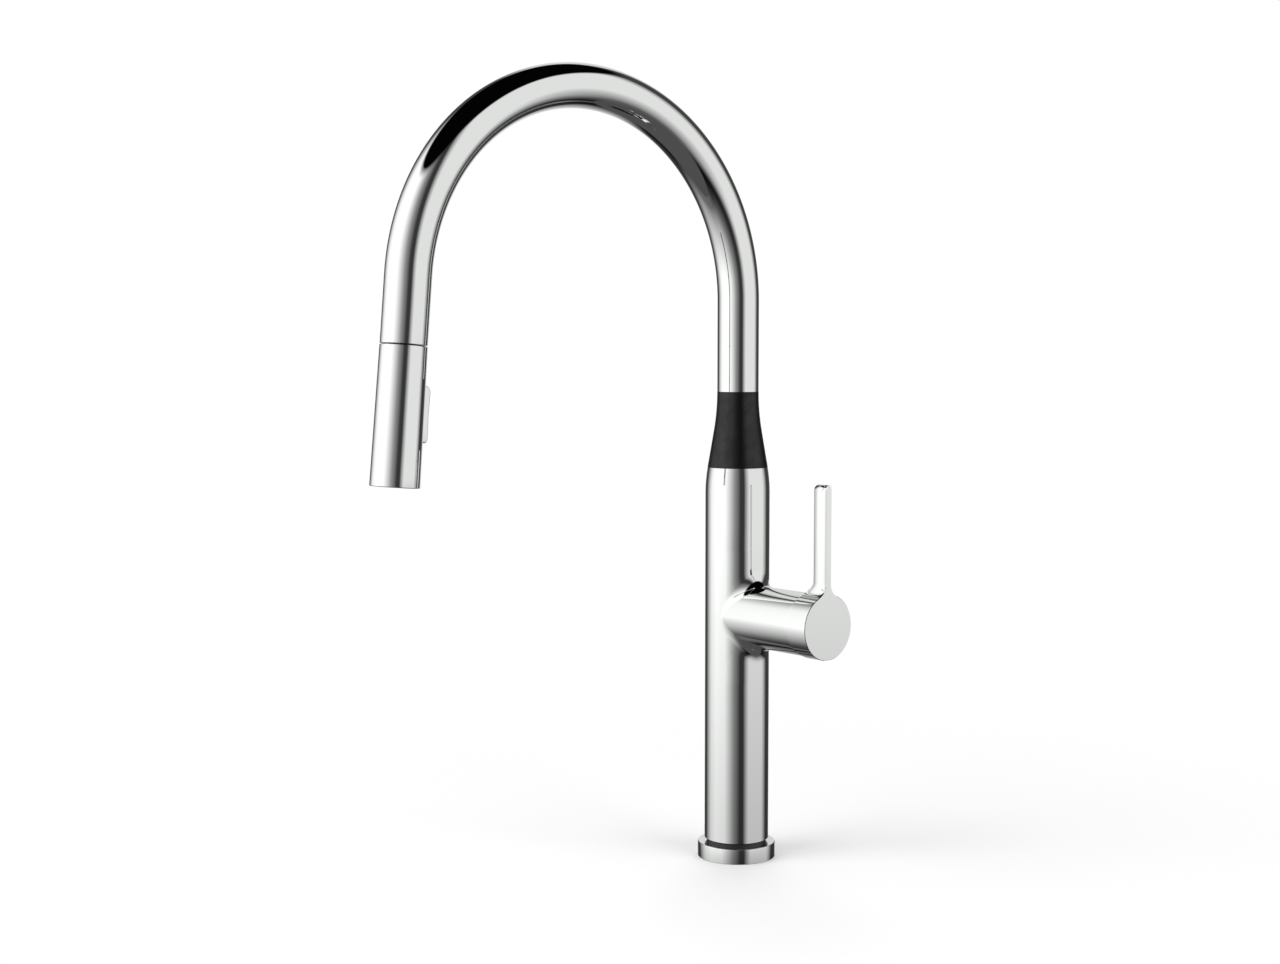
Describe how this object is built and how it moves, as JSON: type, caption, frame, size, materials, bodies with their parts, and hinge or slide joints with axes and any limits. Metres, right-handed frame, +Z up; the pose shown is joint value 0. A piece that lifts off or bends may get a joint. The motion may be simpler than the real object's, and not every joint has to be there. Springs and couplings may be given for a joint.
{
  "type": "pull down kitchen faucet",
  "caption": "Tall single-hole kitchen faucet with a gooseneck spout, a side lever and a pull-down spray head that docks in the spout.",
  "frame": {"origin": "centre of the base ring's underside, on the worktop; the shank's axis passes through it", "axes": "+Z up along the body, the spout reaches towards -Y, the lever stands on the +X side"},
  "size_m": [0.1029, 0.2869, 0.5288],
  "materials": {
    "chrome": "mirror-polished chrome plate",
    "brass": "machined",
    "copper": "drawn tube, bright",
    "steel": "turned stainless",
    "rubber": "matt",
    "nozzle_rubber": "soft silicone",
    "black_plastic": "moulded, satin",
    "grey_plastic": "moulded, fine satin",
    "white_plastic": "moulded acetal",
    "ceramic": "lapped alumina",
    "magnet": "plated magnet",
    "hose_braid": "braided nylon sleeve"
  },
  "bodies": {
    "base": {"base_ring": "chrome", "deck_gasket": "rubber", "mounting_shank": "brass", "swivel_glide_ring": "black_plastic", "swivel_band_lower": "white_plastic", "swivel_band_upper": "white_plastic", "swivel_nut": "brass"},
    "faucet_body": {"body_shell": "chrome", "spout_tube": "chrome", "inlet_manifold": "brass", "feed_tube_hot": "copper", "feed_tube_cold": "copper", "outlet_tube": "copper", "cartridge_housing": "white_plastic", "ceramic_disc_fixed": "ceramic", "cartridge_nut": "brass", "hose_upper": "hose_braid", "hose_guide": "white_plastic", "dock_collar": "black_plastic", "dock_magnet": "magnet"},
    "handle_spindle": {"cartridge_spindle": "black_plastic", "ceramic_disc_moving": "ceramic", "tilt_pin": "steel"},
    "lever": {"lever_handle": "chrome", "handle_adapter": "white_plastic", "tilt_stem": "steel", "handle_set_screw": "steel", "set_screw_plug": "black_plastic"},
    "spray_hose": {"hose_lower": "hose_braid", "hose_ferrule": "steel", "hose_fitting": "brass"},
    "spray_head": {"head_shell": "chrome", "head_core": "black_plastic", "head_magnet_ring": "steel", "ball_retainer": "white_plastic", "check_valve": "white_plastic", "diverter_spool": "white_plastic", "core_seal": "rubber", "nozzle_sheet": "nozzle_rubber", "spray_face": "black_plastic", "aerator": "white_plastic", "rocker_pin": "steel"},
    "rocker": {"rocker_button": "grey_plastic"}
  },
  "joints": [
    {"name": "body_swivel", "type": "hinge", "parent": "base", "child": "faucet_body", "pos_m": [0, 0, 0], "axis": [0, 0, 1], "range_deg": [-90, 90]},
    {"name": "handle_turn", "type": "hinge", "parent": "faucet_body", "child": "handle_spindle", "pos_m": [0, 0, 0.15265], "axis": [1, 0, 0], "range_deg": [0, 90]},
    {"name": "handle_tilt", "type": "hinge", "parent": "handle_spindle", "child": "lever", "pos_m": [0.0663, 0, 0.1439], "axis": [0, 1, 0], "range_deg": [0, 20]},
    {"name": "spray_pull", "type": "slide", "parent": "faucet_body", "child": "spray_hose", "axis": [0, -0.0854, -0.9963], "range_m": [0, 0.22], "deforming": ["hose_lower"]},
    {"name": "head_swivel", "type": "hinge", "parent": "spray_hose", "child": "spray_head", "pos_m": [0, -0.24277, 0.31879], "axis": [0, -0.0854, -0.9963], "continuous": true},
    {"name": "rocker_tilt", "type": "hinge", "parent": "spray_head", "child": "rocker", "pos_m": [0, -0.23671, 0.28224], "axis": [1, 0, 0], "range_deg": [-4, 4]}
  ]
}
